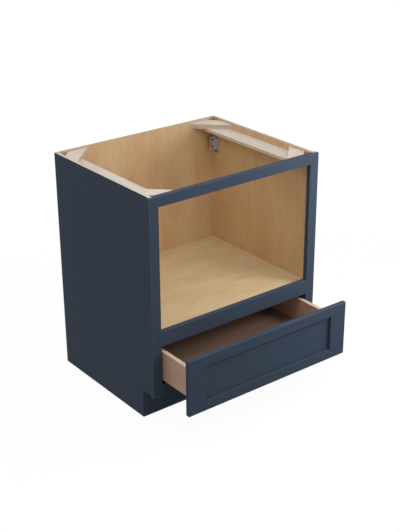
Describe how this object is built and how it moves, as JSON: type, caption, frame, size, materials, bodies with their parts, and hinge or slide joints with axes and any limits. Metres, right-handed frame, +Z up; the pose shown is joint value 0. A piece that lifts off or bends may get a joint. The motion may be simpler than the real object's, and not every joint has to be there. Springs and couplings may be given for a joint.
{
  "type": "microwave base cabinet",
  "caption": "Face-frame base cabinet with an open microwave bay above a flat-panel drawer on undermount slides, open top and toe kick.",
  "frame": {"origin": "middle of the footprint, on the floor, with the drawer standing open by 170 mm", "axes": "+X to the right as seen from the front, +Y towards the back panel, +Z up; the drawer opens towards -Y"},
  "size_m": [0.762, 0.8002, 0.8763],
  "materials": {
    "painted_panel": "satin navy paint outside, clear-coated maple veneer inside",
    "painted_wood": "satin navy paint",
    "maple_plywood": "clear-coated maple veneer plywood",
    "raw_plywood": "unfinished plywood",
    "birch": "clear-coated birch",
    "zinc_steel": "zinc-plated folded sheet steel",
    "black_screw": "black-phosphated steel",
    "nylon": "moulded nylon",
    "grey_plastic": "moulded grey plastic",
    "clear_bumper": "soft clear polyurethane"
  },
  "bodies": {
    "cabinet": {"side_panel_left": "painted_panel", "side_panel_right": "painted_panel", "side_strip_left": "raw_plywood", "side_strip_right": "raw_plywood", "corner_block_front_left": "raw_plywood", "corner_block_front_right": "raw_plywood", "corner_block_back_left": "raw_plywood", "corner_block_back_right": "raw_plywood", "back_panel": "maple_plywood", "microwave_deck": "maple_plywood", "cabinet_floor": "maple_plywood", "toe_kick_board": "painted_panel", "frame_stile_left": "painted_wood", "frame_stile_right": "painted_wood", "frame_top_rail": "painted_wood", "frame_mid_rail": "painted_wood", "frame_bottom_rail": "painted_wood", "angle_bracket_left": "zinc_steel", "angle_bracket_right": "zinc_steel", "bracket_screw_left_lower": "black_screw", "bracket_screw_left_upper": "black_screw", "bracket_screw_right_lower": "black_screw", "bracket_screw_right_upper": "black_screw", "slide_fixed_member_left": "zinc_steel", "slide_fixed_member_right": "zinc_steel", "slide_rear_bracket_left": "grey_plastic", "slide_rear_bracket_right": "grey_plastic"},
    "slide_carriage": {"slide_middle_member_left": "zinc_steel", "slide_middle_member_right": "zinc_steel", "slide_glide_lower_front_left": "nylon", "slide_glide_lower_rear_left": "nylon", "slide_glide_upper_front_left": "nylon", "slide_glide_upper_rear_left": "nylon", "slide_glide_lower_front_right": "nylon", "slide_glide_lower_rear_right": "nylon", "slide_glide_upper_front_right": "nylon", "slide_glide_upper_rear_right": "nylon"},
    "drawer": {"slide_drawer_member_left": "zinc_steel", "slide_drawer_member_right": "zinc_steel", "slide_front_clip_left": "grey_plastic", "slide_front_clip_right": "grey_plastic", "drawer_front_stile_left": "painted_wood", "drawer_front_stile_right": "painted_wood", "drawer_front_rail_top": "painted_wood", "drawer_front_rail_bottom": "painted_wood", "drawer_front_panel": "painted_wood", "drawer_side_left": "birch", "drawer_side_right": "birch", "drawer_box_front": "birch", "drawer_box_back": "birch", "drawer_bottom": "birch", "drawer_front_screw_left_low": "zinc_steel", "drawer_front_screw_left_high": "zinc_steel", "drawer_front_screw_right_low": "zinc_steel", "drawer_front_screw_right_high": "zinc_steel", "drawer_bumper_left": "clear_bumper", "drawer_bumper_right": "clear_bumper"}
  },
  "joints": [
    {"name": "drawer_slide", "type": "slide", "parent": "cabinet", "child": "drawer", "axis": [0, -1, 0], "range_m": [-0.16985, 0.33815]},
    {"name": "carriage_slide", "type": "slide", "parent": "cabinet", "child": "slide_carriage", "axis": [0, -1, 0], "range_m": [-0.085, 0.1695]}
  ],
  "couplings": [
    {"joint": "carriage_slide", "follows": "drawer_slide", "ratio": 0.5}
  ]
}
